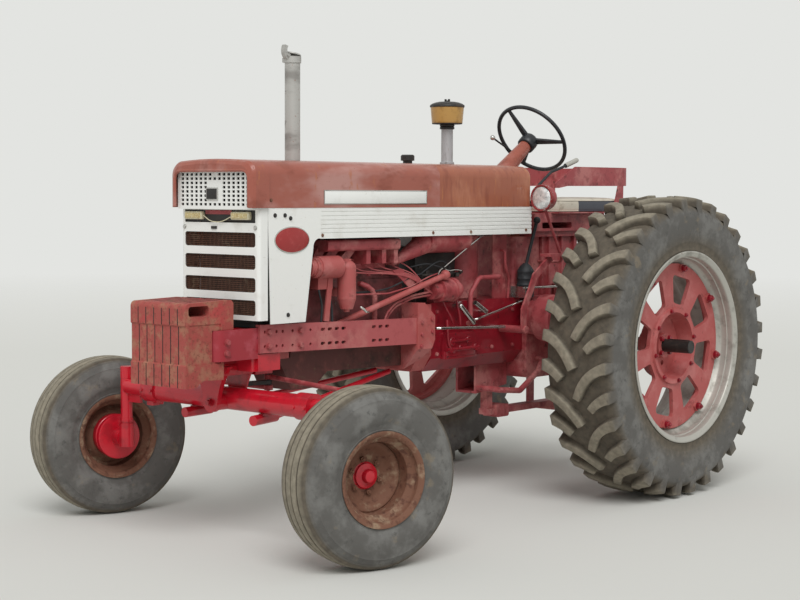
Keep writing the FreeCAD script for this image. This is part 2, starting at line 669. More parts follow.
def front_bolster():
    """Casting between the rail ends, with the two ears that hold the axle's pivot pin."""
    inside = RAIL_Y - RAIL_WEB - PANEL_GAP
    body = block(BOLSTER_REAR_X, BOLSTER_FRONT_X, -inside, inside, BOLSTER_BOTTOM, BOLSTER_TOP)
    wrapped = BRACKET_Y - BRACKET_SHEET - PANEL_GAP
    body = body.cut(pair(block(RAIL_FRONT_X - PANEL_GAP, BOLSTER_FRONT_X + 1, wrapped, inside + 1,
                               BOLSTER_BOTTOM - 1, BOLSTER_TOP + 1)))
    body = body.cut(block(BOLSTER_REAR_X + 30, BOLSTER_FRONT_X - 30, -inside + 30, inside - 30,
                          BOLSTER_BOTTOM + 40, RAIL_FRONT_TOP))
    body = body.cut(pair(block(RAIL_REAR_X, RAIL_FRONT_X + 1, RAIL_Y - RAIL_FLANGE - PANEL_GAP, RAIL_Y + 5,
                               RAIL_FRONT_TOP - RAIL_HEIGHT - 6, RAIL_FRONT_TOP - RAIL_HEIGHT + 16)))
    pivot_z = BEAM_Z - 12
    shapes = [body]
    for x0, x1 in ((B + 90, B + 116), (B - 65, B - 54)):
        ear = front_form(x0, x1, (118, EAR_TOP), ((66, pivot_z + 78), (EAR_HALF, pivot_z)),
                         ((0, pivot_z - EAR_HALF), (-EAR_HALF, pivot_z)),
                         ((-66, pivot_z + 78), (-118, EAR_TOP)))
        shapes.append(ear)
    shapes.append(block(B - 65, B + 116, -95, 95, BOLSTER_BOTTOM - 20, EAR_TOP))
    shapes.append(block(BOLSTER_REAR_X - 83, BOLSTER_REAR_X + 30, -70, 70, SHELF_BOTTOM, BOLSTER_BOTTOM + 10))
    casting = joined(shapes)
    pin = bar(Vector(B - 65, 0, pivot_z), Vector(B + 126, 0, pivot_z), 18.0)
    socket = bar(Vector(STEERING_ARM_X, 0, SHELF_BOTTOM - 5), Vector(STEERING_ARM_X, 0, BOLSTER_BOTTOM + 38),
                 POST_R + RUNNING_GAP)
    save("front_bolster", casting.fuse(pin).cut(socket))


BRACKET_Y = 203.0
BRACKET_FRONT_X = F + 245.0
BRACKET_SHEET = 14.0
BRACKET_BOTTOM = 850.0
BRACKET_TOP = 990.0


def weight_bracket():
    """A strap bent round the front, on the rail ends, that the weights hook over."""
    y, t, r = BRACKET_Y, BRACKET_SHEET, 60.0
    x0 = RAIL_FRONT_X + PANEL_GAP
    x1 = BRACKET_FRONT_X
    lean = r * (1 - math.sqrt(0.5))
    outside = plan_form(BRACKET_BOTTOM, BRACKET_TOP, (x0, -y), ((x1 - r, -y),),
                        ((x1 - lean, -y + lean), (x1, -y + r)), ((x1, y - r),),
                        ((x1 - lean, y - lean), (x1 - r, y)), ((x0, y),))
    ri = r - t
    lean_in = ri * (1 - math.sqrt(0.5))
    xi, yi = x1 - t, y - t
    inside = plan_form(BRACKET_BOTTOM - 1, BRACKET_TOP + 1, (x0 - 1, -yi), ((xi - ri, -yi),),
                       ((xi - lean_in, -yi + lean_in), (xi, -yi + ri)), ((xi, yi - ri),),
                       ((xi - lean_in, yi - lean_in), (xi - ri, yi)), ((x0 - 1, yi),))
    save("weight_bracket", outside.cut(inside))


WEIGHT_COUNT = 7
WEIGHT_SPAN = 368.0
WEIGHT_GAP = 0.8
WEIGHT_TOP = 1118.0
WEIGHT_BOTTOM = 743.0
WEIGHT_WAIST_LOW = 842.0
WEIGHT_WAIST_HIGH = 1021.0
WEIGHT_STEP = 6.5           # how far the waist is set back from the face
POCKET_DEPTH = 4.0


def weights():
    """Seven suitcase weights, each with a handle hole and a hook over the bracket."""
    pitch = WEIGHT_SPAN / WEIGHT_COUNT
    front = F + WEIGHT_REACH
    notch_top = BRACKET_TOP + 0.5
    notch_low = BRACKET_BOTTOM - 0.5
    slabs = []
    for i in range(WEIGHT_COUNT):
        y0 = -WEIGHT_SPAN / 2 + i * pitch + WEIGHT_GAP / 2
        y1 = y0 + pitch - WEIGHT_GAP
        back = front - WEIGHT_STEP
        slab = side_form(
            y0, y1, (front, WEIGHT_BOTTOM), ((front, WEIGHT_WAIST_LOW),), ((back, WEIGHT_WAIST_LOW + 6),),
            ((back, WEIGHT_WAIST_HIGH - 6),), ((front, WEIGHT_WAIST_HIGH),), ((front, WEIGHT_TOP - 24),),
            ((front - 7, WEIGHT_TOP - 7), (front - 24, WEIGHT_TOP)), ((F + 130, WEIGHT_TOP + 6),),
            ((F + 118, WEIGHT_TOP - 8),), ((F + 118, notch_top),), ((BRACKET_FRONT_X + 0.5, notch_top),),
            ((BRACKET_FRONT_X + 0.5, notch_low),), ((F + 178, notch_low),), ((F + 178, WEIGHT_BOTTOM + 24),),
            ((F + 300, WEIGHT_BOTTOM + 28),), ((F + 346, WEIGHT_BOTTOM),))
        handle = rounded(block(F + 267, F + 389, y0 - 5, y1 + 5, 1058, 1104), 15.0, Vector(0, 1, 0))
        cuts = [handle]
        for outside, pocket_y in ((i == 0, y0 - 1), (i == WEIGHT_COUNT - 1, y1 - POCKET_DEPTH)):
            if outside:
                cuts.append(block(F + 196, back - 14, pocket_y, pocket_y + POCKET_DEPTH + 1,
                                  WEIGHT_WAIST_LOW, WEIGHT_WAIST_HIGH))
        slabs.append(cut_all(slab, cuts))
    save("weights", Part.makeCompound(slabs))


def hood_section(half, top, shoulder, bottom):
    """Points of a bonnet section in (y, z): flat sides, round shoulders and a low crown."""
    lean = shoulder * (1 - math.sqrt(0.5))
    edge = top - HOOD_CROWN
    return (half, bottom), (
        ((half, edge - shoulder),),
        ((half - lean, edge - lean), (half - shoulder, edge)),
        ((0, top), (-half + shoulder, edge)),
        ((-half + lean, edge - lean), (-half, edge - shoulder)),
        ((-half, bottom),))


def hood_shell(x0, x1, half, closed_front):
    """A bonnet length in sheet, open below and behind."""
    start, steps = hood_section(half, HOOD_TOP, HOOD_SHOULDER, HOOD_BOTTOM)
    outer = front_form(x0, x1, start, *steps)
    start, steps = hood_section(half - SHEET, HOOD_TOP - SHEET, HOOD_SHOULDER - SHEET, HOOD_BOTTOM - 5)
    inner_end = x1 - SHEET if closed_front else x1 + 5
    return outer, front_form(x0 - 5, inner_end, start, *steps)


COWL_NOSE = [(0.0, 24.0), (7.0, 10.0), (22.0, 0.0)]    # inset of the section, distance behind the nose


def cowl_form(grow_in):
    """The nose cowl's solid form, its front edge rolled in over a few lofted sections."""
    wires = []
    for inset, behind in [(0.0, COWL_FRONT_X - COWL_REAR_X + grow_in)] + COWL_NOSE:
        half, top = COWL_HALF - inset - grow_in, HOOD_TOP - inset - grow_in
        start, steps = hood_section(half, top, HOOD_SHOULDER - grow_in, HOOD_BOTTOM - grow_in)
        x = COWL_FRONT_X - behind - grow_in
        wires.append(Part.Wire(edges_of(lambda p: Vector(x, p[0], p[1]), start, steps)))
    return Part.makeLoft(wires, True, True)


def bonnet():
    """Main bonnet, the fuel tank behind it, and the nose cowl ahead of it."""
    outer, inner = hood_shell(HOOD_SEAM_X + PANEL_GAP, COWL_REAR_X - PANEL_GAP, HOOD_HALF, False)
    holes = [bar(Vector(STACK_X, 0, HOOD_TOP - 40), Vector(STACK_X, 0, HOOD_TOP + 40), STACK_R + 6)]
    save("hood", cut_all(outer.cut(inner), holes))
    start, steps = hood_section(HOOD_HALF, HOOD_TOP, HOOD_SHOULDER, HOOD_BOTTOM)
    tank = front_form(TANK_REAR_X, HOOD_SEAM_X, start, *steps)
    rear_edges = [edge for edge in tank.Edges if edge.BoundBox.XMax < TANK_REAR_X + 1
                  and edge.BoundBox.ZMax > HOOD_BOTTOM + 1]
    save("fuel_tank", tank.makeFillet(26.0, rear_edges))
    outer, inner = cowl_form(0), cowl_form(SHEET)
    x0, x1 = COWL_FRONT_X - 40, COWL_FRONT_X + 5
    mouth = rounded(block(x0, x1, -MOUTH_HALF, MOUTH_HALF, HOOD_BOTTOM - 10, MOUTH_TOP), 30.0, Vector(1, 0, 0))
    mouth = mouth.fuse(block(x0, x1, -MOUTH_HALF, MOUTH_HALF, HOOD_BOTTOM - 10, MOUTH_TOP - 100))
    save("nose_cowl", outer.cut(inner).cut(mouth))


def grille():
    """White slotted panel below the nose, with a square-cornered opening for the lamps on top."""
    panel = block(F - 50, GRILLE_X, -GRILLE_HALF, GRILLE_HALF, GRILLE_BOTTOM, HOOD_BOTTOM - PANEL_GAP)
    panel = rounded(panel, 18.0, Vector(0, 0, 1))
    panel = panel.cut(block(F - 60, F - 26, -GRILLE_HALF - 5, GRILLE_HALF + 5, 0, HOOD_TOP))
    hollow = block(F - 60, GRILLE_X - GRILLE_SHEET, -GRILLE_HALF + GRILLE_SHEET, GRILLE_HALF - GRILLE_SHEET,
                   GRILLE_BOTTOM - 5, HOOD_BOTTOM + 5)
    panel = panel.cut(rounded(hollow, 14.0, Vector(0, 0, 1)))
    slots = []
    for z0, z1, corner in GRILLE_SLOTS:
        slot = block(GRILLE_X - 30, GRILLE_X + 5, -SLOT_HALF, SLOT_HALF, z0, z1)
        slots.append(rounded(slot, corner, Vector(1, 0, 0)))
    panel = cut_all(panel, slots)
    shelf = block(GRILLE_X - GRILLE_SHEET, COWL_FRONT_X - SCREEN_BACK + SCREEN_SHEET, -SCREEN_HALF, SCREEN_HALF,
                  HOOD_BOTTOM - 7, HOOD_BOTTOM - PANEL_GAP)
    save("grille", joined([panel, shelf]))


def grille_screen():
    """Plate behind the nose's mouth, punched with rows of windows round a bare middle."""
    x0 = COWL_FRONT_X - SCREEN_BACK
    plate = block(x0, x0 + SCREEN_SHEET, -SCREEN_HALF, SCREEN_HALF, HOOD_BOTTOM - PANEL_GAP, MOUTH_TOP + 8)
    upper = [edge for edge in plate.Edges if edge.BoundBox.ZMin > MOUTH_TOP and edge.BoundBox.YLength < 1]
    plate = plate.makeFillet(30.0, upper)
    windows = []
    middle = SCREEN_COLUMNS // 2
    for column in range(SCREEN_COLUMNS):
        for row in range(SCREEN_ROWS):
            near = abs(column - middle)
            if near <= 1 and 1 <= row <= 5 or near == 0 and row == SCREEN_ROWS - 1:
                continue
            y = (column - middle) * SCREEN_PITCH_Y
            z = SCREEN_FIRST_Z + row * SCREEN_PITCH_Z
            windows.append(block(x0 - 1, x0 + SCREEN_SHEET + 1, y - 9.5, y + 9.5, z - 6, z + 6))
    save("grille_screen", cut_all(plate, windows))


def lamp_bar():
    """Bar across the grille's top opening, with two flat lamps."""
    x0 = F + 8
    strip = block(x0, GRILLE_X - GRILLE_SHEET - PANEL_GAP, -GRILLE_HALF + GRILLE_SHEET + PANEL_GAP + 14,
                  GRILLE_HALF - GRILLE_SHEET - PANEL_GAP - 14, 1474, 1527)
    shapes = [strip]
    for y in LAMP_PLACES:
        lamp = block(x0 + 10, GRILLE_X + 16, y - 59.5, y + 59.5, 1482, 1519)
        shapes.append(rounded(lamp, 7.0, Vector(1, 0, 0)))
    save("lamp_bar", joined(shapes))


# bottom, top and corner radius of each opening
GRILLE_SLOTS = [(1469, 1527, 3.0), (1359, 1425, 14.0), (1258, 1323, 14.0), (1154, 1220, 14.0),
                (1048, 1118, 14.0)]
SLOT_HALF = 235.0
GRILLE_SHEET = 4.0
SCREEN_HALF = 250.0
SCREEN_COLUMNS = 15
SCREEN_ROWS = 8
SCREEN_PITCH_Y = 31.0
SCREEN_PITCH_Z = 19.6
SCREEN_FIRST_Z = HOOD_BOTTOM + 15
LAMP_PLACES = (-165.0, 146.0)


def side_panels():
    """The white legs beside the radiator."""
    y1 = GRILLE_HALF + 2
    y0 = y1 - 4
    x1 = F - 26 - PANEL_GAP
    top = HOOD_BOTTOM - PANEL_GAP
    leg = side_form(y0, y1, (x1, top), ((F - 375, top),), ((F - 375, STRIP_BOTTOM),),
                    ((F - 336, STRIP_BOTTOM - 8), (F - 322, STRIP_BOTTOM - 40)), ((F - 270, LEG_BOTTOM),),
                    ((x1 - 16, LEG_BOTTOM),))
    save("side_panels", pair(leg))


def louvre_panels():
    """The long white strips with pressed grooves under the bonnet's edge."""
    y1 = GRILLE_HALF + 2
    strip = block(TANK_REAR_X, F - 375 - PANEL_GAP, y1 - 12, y1, STRIP_BOTTOM, HOOD_BOTTOM - PANEL_GAP)
    grooves = [block(TANK_REAR_X - 1, F - 375, y1 - 3, y1 + 1, z, z + 7)
               for z in range(int(STRIP_BOTTOM) + 22, int(HOOD_BOTTOM) - 12, 20)]
    save("louvre_panels", pair(cut_all(strip, grooves)))


# Engine

def engine_block():
    """Block, head and valve cover of an in-line engine."""
    x0, x1 = BELL_FRONT_X + PANEL_GAP, ENGINE_FRONT_X
    crankcase = block(x0, x1, -ENGINE_HALF, ENGINE_HALF, BLOCK_BOTTOM, BLOCK_TOP)
    head = block(x0 + 10, x1 - 10, -ENGINE_HALF + 10, ENGINE_HALF - 10, BLOCK_TOP, HEAD_TOP)
    cover = rounded(block(x0 + 25, x1 - 25, -85, 85, HEAD_TOP, COVER_TOP), 30.0, Vector(1, 0, 0))
    front = block(x1, x1 + 60, -105, 105, BLOCK_BOTTOM - 20, BLOCK_TOP)
    snout = bar(Vector(x1, 0, 920), Vector(x1 + 70, 0, 920), 60.0)
    pump = bar(Vector(x1, 0, 1180), Vector(x1 + 90, 0, 1180), 60.0)
    save("engine_block", joined([crankcase, head, cover, front, snout, pump]))


def oil_pan():
    """Deep pan ahead, shallow pan behind."""
    x0, top = BELL_FRONT_X + PANEL_GAP, BLOCK_BOTTOM - PANEL_GAP
    pan = side_form(-110, 110, (F - 240, BLOCK_BOTTOM - 21), ((F - 330, 672),), ((F - 480, 672),),
                    ((F - 575, 745),), ((x0, 735),), ((x0, top),),
                    ((ENGINE_FRONT_X, top),), ((ENGINE_FRONT_X, BLOCK_BOTTOM - 21),))
    save("oil_pan", pan)


def manifolds():
    """Log manifold with upright and slanting runners down to a flange on the head."""
    side = ENGINE_HALF - 10 + PANEL_GAP
    log = rounded(block(A + 1408, A + 1930, 120, 225, 1328, 1383), 16.0, Vector(1, 0, 0))
    shapes = [log, block(A + 1406, A + 1951, side, side + 14, 1235, 1285)]
    for x in (A + 1420, A + 1508, A + 1623):
        shapes.append(block(x - 15, x + 15, side, 205, 1262, 1345))
    for x0, x1, low0, low1, y in ((1640, 1700, 1740, 1800, 158), (1760, 1820, 1860, 1920, 158),
                                  (1870, 1930, 1925, 1985, 158)):
        shapes.append(side_form(side + 5, y, (A + x0, 1350), ((A + x1, 1350),), ((A + low1, 1275),),
                                ((A + low0, 1262),)))
    save("manifolds", joined(shapes))


def generator():
    """Round generator hung beside the block, with its pulley, foot and long strap."""
    y, z, x = 215.0, 1255.0, A + 1850
    body = lengthwise_turned(y, z, (x, 0), ((x, 46),), ((x + 8, 54),), ((x + 155, 54),), ((x + 155, 49),),
                             ((x + 183, 49),), ((x + 183, 42),), ((x + 192, 42),), ((x + 199, 32),),
                             ((x + 206, 42),), ((x + 215, 42),), ((x + 215, 0),))
    foot = block(x + 30, x + 130, ENGINE_HALF + PANEL_GAP, y - 8, 1150, 1218)
    leg = strap(RAIL_Y - RAIL_WEB, RAIL_Y - 4, 16.0, [(x + 45, 1222), (x + 75, 998)])
    save("generator", joined([body, foot, leg]))


def fuel_filters():
    """Filter can with a drain below, a domed top and a foot on the block."""
    y, x = 225.0, A + 1801
    can = upright_turned(x, y, (0, 1037), ((14, 1037),), ((14, 1051),), ((30, 1051),), ((45, 1100),),
                         ((45, 1244),), ((40, 1266), (22, 1281)), ((22, 1292),), ((0, 1292),))
    foot = block(x - 30, x + 30, ENGINE_HALF + PANEL_GAP, y, 1110, 1150)
    save("fuel_filters", joined([can, foot]))


def injection_pump():
    """Drum-shaped pump on the gearbox top, stepped from its flange to its head."""
    y, z, x = 195.0, 1110.0, A + 922
    body = lengthwise_turned(y, z, (x, 0), ((x, 40),), ((x + 38, 40),), ((x + 38, 62),), ((x + 63, 62),),
                             ((x + 63, 58),), ((x + 163, 58),), ((x + 163, 44),), ((x + 216, 44),),
                             ((x + 216, 0),))
    foot = block(x + 70, x + 158, 120, 168, CASE_TOP + PANEL_GAP, z)
    save("injection_pump", joined([body, foot]))


def intake_duct():
    """Air cleaner standing on the gearbox, and the long duct that narrows forward to the head."""
    y, z = 172.0, 1372.0
    x0, x1 = A + 843, A + 1180
    duct = lengthwise_turned(y, z, (x0 - 14, 0), ((x0 - 6, 52), (x0 + 40, 70)), ((x1, 70),), ((x1, 0),))
    tip = Vector(A + 1385, 158, 1262)
    start = Vector(A + 1150, y + 6, z - 8)
    neck = Part.makeCone(60, 17, (tip - start).Length, start, tip - start)
    stub = bar(tip, Vector(tip.x, ENGINE_HALF - 10 + PANEL_GAP, tip.z), 15.0)
    cleaner = upright_turned(A + 690, 30, (0, CASE_TOP + PANEL_GAP), ((84, CASE_TOP + PANEL_GAP),),
                             ((90, CASE_TOP + 8),), ((90, 1380),), ((70, 1400),), ((0, 1400),))
    link = bar(Vector(A + 700, 60, 1355), Vector(x0 + 40, y, 1362), 40.0)
    save("intake_duct", joined([duct, neck, Part.makeSphere(17.0, tip), stub, cleaner, link]))


def engine_pipes():
    """Pipes, rods and thin plates on the engine's left side, each seated at both ends."""
    side = ENGINE_HALF + PANEL_GAP
    case = CASE_HALF + PANEL_GAP
    pillar_y = 150.0

    # radius of the pipe, what its corners lose, and its points as (x, y, z) from the rear axle
    runs = [
        (13.0, 22.0, [(1592, side, 1160), (1592, 153, 1160), (1519, 153, 1115), (1519, 153, 940),
                      (1519, side, 940)]),
        (6.0, 14.0, [(1450, side, 930), (1450, 158, 930), (1436, 162, 990), (1383, 166, 1040),
                     (1266, 178, 1078), (1141, 195, 1090)]),
        (6.0, 14.0, [(1478, side, 930), (1478, 176, 930), (1462, 178, 1006), (1398, 180, 1058),
                     (1266, 190, 1094), (1141, 200, 1106)]),
        (4.0, 12.0, [(1700, side, 1113), (1700, 185, 1113), (1459, 190, 1110), (1296, 188, 1135),
                     (1137, 188, 1184), (1060, 192, 1200), (1060, 192, 1168.4)]),
        (13.0, 12.0, [(555, pillar_y + PANEL_GAP, 1163), (555, 190, 1163), (735, 190, 1163), (806, 190, 1085),
                      (806, 190, 925), (806, case, 925)]),
        (8.0, 12.0, [(498, pillar_y + PANEL_GAP, 1303), (498, 176, 1303), (491, 176, 1216), (447, 166, 1154),
                     (447, 160, CASE_TOP + PANEL_GAP)])]
    shapes = [mitred_rod([Vector(A + x, y, z) for x, y, z in points], radius, cut)
              for radius, cut, points in runs]
    shapes.append(block(A + 447, A + 568, pillar_y - 6, pillar_y, CASE_TOP + PANEL_GAP, HOOD_BOTTOM - PANEL_GAP))
    plate = side_form(174, 180, (A + 1415, 1222), ((A + 1354, 1231),), ((A + 1229, 1155),), ((A + 1292, 1135),))
    stub = bar(Vector(A + 1360, ENGINE_HALF - 10 + PANEL_GAP, 1205), Vector(A + 1360, 176, 1205), 8.0)
    shapes.append(joined([plate, stub]))
    save("engine_pipes", Part.makeCompound(shapes))


def control_rods():
    """Control rods and springs beside the gearbox, between brackets on its top and its side."""
    case = CASE_HALF + PANEL_GAP
    rod_y, rod_z = 238.0, 1097.0
    thick = bar(Vector(A + 7, rod_y, rod_z), Vector(A + 422, rod_y, rod_z), 6.5)
    brackets = [block(A + x, A + x + 12, 150, rod_y + 8, CASE_TOP + PANEL_GAP, rod_z + 8) for x in (20, 396)]
    shapes = [joined([thick] + brackets)]
    low = [(560, case, 897), (560, 235, 897), (1118, 235, 920), (1118, BELL_HALF + PANEL_GAP, 920)]
    slanted = [(765, case, 946), (765, 198, 946), (372, 203, 1026), (372, case, 1026)]
    for points, radius, cut in ((low, 7.0, 12.0), (slanted, 6.0, 8.0)):
        shapes.append(mitred_rod([Vector(A + x, y, z) for x, y, z in points], radius, cut))
    for start, end in (((926, 1025), (815, 930)), ((714, 986), (808, 1038))):
        first = Vector(A + start[0], 220, start[1])
        spring = bar(first, Vector(A + end[0], 220, end[1]), 13.0)
        seat = bar(Vector(first.x, case, first.z), first, 8.0)
        shapes.append(joined([spring, seat, Part.makeSphere(13.0, first)]))
    save("control_rods", Part.makeCompound(shapes))


def steering_shaft():
    """The long shaft beside the engine, from the gear at the front to the joint behind."""
    low = Vector(F - 240, 126, 870)
    high = Vector(A + 1066, 232, 1190)
    gear = block(F - 250, BOLSTER_REAR_X - PANEL_GAP, 80, 170, 834, 930)
    save("steering_shaft", joined([bar(low, high, 15.0), Part.makeSphere(26.0, high), gear]))


def radiator():
    core = block(F - 140, F - 60, -225, 225, 1030, 1480)
    top = rounded(block(F - 150, F - 50, -215, 215, 1480.0, 1640), 30.0, Vector(0, 1, 0))
    foot = block(F - 150, F - 50, -170, 170, BOLSTER_TOP + PANEL_GAP, 1030)
    save("radiator", joined([core, top, foot]))


def fan():
    x = F - 200.0
    hub = bar(Vector(ENGINE_FRONT_X + 90 + PANEL_GAP, 0, 1180), Vector(x + 14, 0, 1180), 30.0)
    blades = []
    for i in range(6):
        blade = block(x - 3, x + 3, -45, 45, 1190, 1180 + 210)
        blade.rotate(Vector(x, 0, 1180), Vector(0, 0, 1), 25)
        blade.rotate(Vector(x, 0, 1180), Vector(1, 0, 0), 60 * i + 20)
        blades.append(blade)
    save("fan", joined([hub] + blades))


# Gearbox and rear axle

def bell_housing():
    """Clutch housing: cheeks that widen to the rails, on a narrower body."""
    def station(x):
        return BELL_FRONT_X - x

    cheeks = side_form(-222, 222, (station(0), 1054), ((station(55), 1054),), ((station(136), 985),),
                       ((station(136), 864),), ((station(82), 760),), ((station(0), 715),))
    outline = front_form(station(140), station(-1), (222, 1060), ((222, 820),), ((120, 710),), ((-120, 710),),
                         ((-222, 820),), ((-222, 1060),))
    body = front_form(BELL_REAR_X, station(60), (BELL_HALF, 1040), ((BELL_HALF, 780),), ((120, 697),),
                      ((-120, 697),), ((-BELL_HALF, 780),), ((-BELL_HALF, 1040),))
    save("bell_housing", joined([cheeks.common(outline), body]))


def transmission_case():
    """Gearbox with a raised side cover and a shift bar in two bosses."""
    x0, x1 = CASE_REAR_X, BELL_REAR_X - 0.5
    case = front_form(x0, x1, (CASE_HALF, CASE_TOP), ((CASE_HALF, CASE_BOTTOM + 70),),
                      ((CASE_HALF - 60, CASE_BOTTOM),), ((-CASE_HALF + 60, CASE_BOTTOM),),
                      ((-CASE_HALF, CASE_BOTTOM + 70),), ((-CASE_HALF, CASE_TOP),))
    cover = block(A + 733, A + 1026, CASE_HALF - 5, CASE_HALF + 12, 762, 890)
    shapes = [case, rounded(cover, 14.0, Vector(0, 1, 0))]
    bar_y, bar_z = CASE_HALF + 32, 800.0
    shapes.append(bar(Vector(A + 752, bar_y, bar_z), Vector(A + 1012, bar_y, bar_z), 10.0))
    for x in (A + 778, A + 984):
        shapes.append(bar(Vector(x, CASE_HALF, bar_z), Vector(x, bar_y + 8, bar_z), 16.0))
    save("transmission_case", joined(shapes))


def rear_axle_housing():
    """Main housing, axle carriers that taper outwards, and the stepped brake housings."""
    centre = block(HOUSING_REAR_X, CASE_REAR_X - 0.5, -HOUSING_HALF, HOUSING_HALF, HOUSING_BOTTOM, CASE_TOP)
    shapes = [rounded(centre, 40.0, Vector(0, 1, 0))]
    brake = turned(Vector(A + 285, 0, 934), (HOUSING_HALF - 5, 0), ((HOUSING_HALF - 5, 95),), ((287, 95),),
                   ((287, 127),), ((383, 127),), ((395, 115),), ((395, 60),), ((403, 52),), ((403, 0),))
    for side in (1, -1):
        start = Vector(A, side * HOUSING_HALF, REAR_TYRE_R)
        shapes.append(Part.makeCone(125, 78, CARRIER_END_Y - HOUSING_HALF, start, Vector(0, side, 0)))
        shapes.append(brake if side > 0 else mirrored(brake))
    bores = [bar(Vector(A, side * (CARRIER_END_Y - 61), REAR_TYRE_R),
                 Vector(A, side * (CARRIER_END_Y + 5), REAR_TYRE_R), SHAFT_SEAT_R + RUNNING_GAP)
             for side in (1, -1)]
    save("rear_axle_housing", cut_all(joined(shapes), bores))


def seat_platform():
    """Hydraulic housing over the axle, its ribbed rear half, and the beam that carries the seat."""
    floor = CASE_TOP + PANEL_GAP
    front = rounded(block(A + 110, A + 360, -BOX_HALF, BOX_HALF, floor, BOX_TOP), 24.0, Vector(0, 0, 1))
    rear = block(A - 223, A + 112, -BOX_HALF - 10, BOX_HALF + 10, floor, BOX_TOP)
    ribs = [block(A + x, A + x + 14, -BOX_HALF - 24, BOX_HALF + 24, floor, BOX_TOP) for x in (-190, -70, 50)]
    top = block(A - 235, A + 240, -BOX_HALF - 40, BOX_HALF + 40, BOX_TOP - 1, BEAM_FLOOR)
    beam = block(A - 420, A + 250, -190, 190, BEAM_FLOOR, SEAT_FLOOR)
    window = rounded(block(A - 100, A + 179, -200, 200, BEAM_FLOOR + 15, BEAM_FLOOR + 48), 10.0, Vector(0, 1, 0))
    save("seat_platform", joined([front, rear, top, beam.cut(window)] + ribs))


def column_cover():
    """Instrument housing behind the tank and the sleeve of the steering column."""
    tilt = math.radians(STEER_TILT)
    along = Vector(-math.cos(tilt), 0, math.sin(tilt))
    top = STEER_HUB - along * 62
    foot = STEER_HUB - along * 330
    sleeve = Part.makeCone(52, 36, (top - foot).Length, foot, along)
    box = block(A + 250 + PANEL_GAP, TANK_REAR_X - PANEL_GAP, -BOX_HALF, BOX_HALF, 1440, 1748)
    post = block(A + 250 + PANEL_GAP, A + 340, -90, 90, BOX_TOP + PANEL_GAP, 1440)
    bore = bar(foot + along * 110, top + along * 5, 14.0 + RUNNING_GAP)
    save("column_cover", joined([sleeve, box, post]).cut(bore))


def steering_wheel():
    tilt = math.radians(STEER_TILT)
    along = Vector(-math.cos(tilt), 0, math.sin(tilt))
    rim_ring = Part.makeTorus(STEER_WHEEL_R - 11, 11, STEER_HUB + along * 16, along)
    hub = bar(STEER_HUB - along * 60, STEER_HUB + along * 8, 34.0)
    shaft = bar(STEER_HUB - along * 210, STEER_HUB - along * 50, 14.0)
    shapes = [rim_ring, hub, shaft]
    for angle in (0, 120, 240):
        end = STEER_HUB + along * 16 + FreeCAD.Rotation(along, angle + 8) * Vector(0, STEER_WHEEL_R - 14, 0)
        shapes.append(bar(STEER_HUB - along * 10, end, 9.0))
    save("steering_wheel", joined(shapes))


# Stack, cleaner, lamps

STACK_X = F - 448.0
STACK_R = 37.0
STACK_TOP = 2256.0
FLAP_TILT = 14.0
CLEANER_X = A + 776.0


def exhaust_stack():
    """Straight pipe with a clamp collar, a tilted flap and the flap's curved counterweight."""
    x = STACK_X
    pipe = bar(Vector(x, 0, COVER_TOP + PANEL_GAP), Vector(x, 0, STACK_TOP), STACK_R)
    collar = bar(Vector(x, 0, STACK_TOP - 31), Vector(x, 0, STACK_TOP), STACK_R + 5)
    ears = block(x - 12, x + 12, -STACK_R - 20, -STACK_R, STACK_TOP - 27, STACK_TOP - 5)
    tilt = math.radians(FLAP_TILT)
    flap = Part.makeCylinder(STACK_R + 4, 6, Vector(x, 0, STACK_TOP + 6), Vector(-math.sin(tilt), 0, math.cos(tilt)))
    hinge = bar(Vector(x + 40, -20, STACK_TOP + 4), Vector(x + 40, 20, STACK_TOP + 4), 8.0)
    weight = side_form(-11, 11, (x + 28, STACK_TOP - 20), ((x + 50, STACK_TOP - 12),),
                       ((x + 66, STACK_TOP + 18), (x + 58, STACK_TOP + 53)), ((x + 38, STACK_TOP + 47),),
                       ((x + 44, STACK_TOP + 20), (x + 28, STACK_TOP + 4)))
    save("exhaust_stack", joined([pipe, collar, ears, flap, hinge, weight]))


def precleaner():
    """Pipe, ringed neck, bowl that widens upwards, domed lid and its nut."""
    floor = HOOD_TOP + PANEL_GAP
    save("precleaner", upright_turned(
        CLEANER_X, 0, (0, floor), ((38, floor),), ((38, floor + 10),), ((31, floor + 14),), ((31, 1945),),
        ((39, 1945),), ((39, 1956),), ((35, 1958),), ((39, 1961),), ((39, 1971),), ((80, 1971),), ((82, 1986),),
        ((88, 2060),), ((92, 2062),), ((92, 2072),), ((72, 2084), (34, 2090)), ((9, 2090),), ((9, 2104),),
        ((0, 2104),)))


def filler_cap():
    """Cap of the fuel tank, at the tank's front end."""
    floor = HOOD_TOP + PANEL_GAP
    save("filler_cap", upright_turned(
        HOOD_SEAM_X - 53, 0, (0, floor), ((24, floor),), ((24, floor + 12),), ((35.5, floor + 14),),
        ((35.5, floor + 38),), ((29, floor + 44),), ((0, floor + 44),)))


def headlights():
    """Lamps with round-backed bowls, on arms from the column's housing and struts from below."""
    x, y, z = A + 385.0, 336.0, 1583.0
    shell = lengthwise_turned(y, z, (x - 85, 0), ((x - 76, 42), (x - 34, 66)), ((x - 13, 66),), ((x - 13, 70),),
                              ((x, 70),), ((x, 0),))
    arm = bar(Vector(x - 40, BOX_HALF + PANEL_GAP, z - 38), Vector(x - 40, y - 6, z - 38), 9.0)
    strut = bent_rod([Vector(x - 50, y - 16, z - 53), Vector(A + 133, 300, 1233),
                      Vector(A + 133, BOX_HALF + PANEL_GAP, 1233)], 8.0, 40.0)
    save("headlights", pair(joined([shell, arm, strut])))


# Driver's place

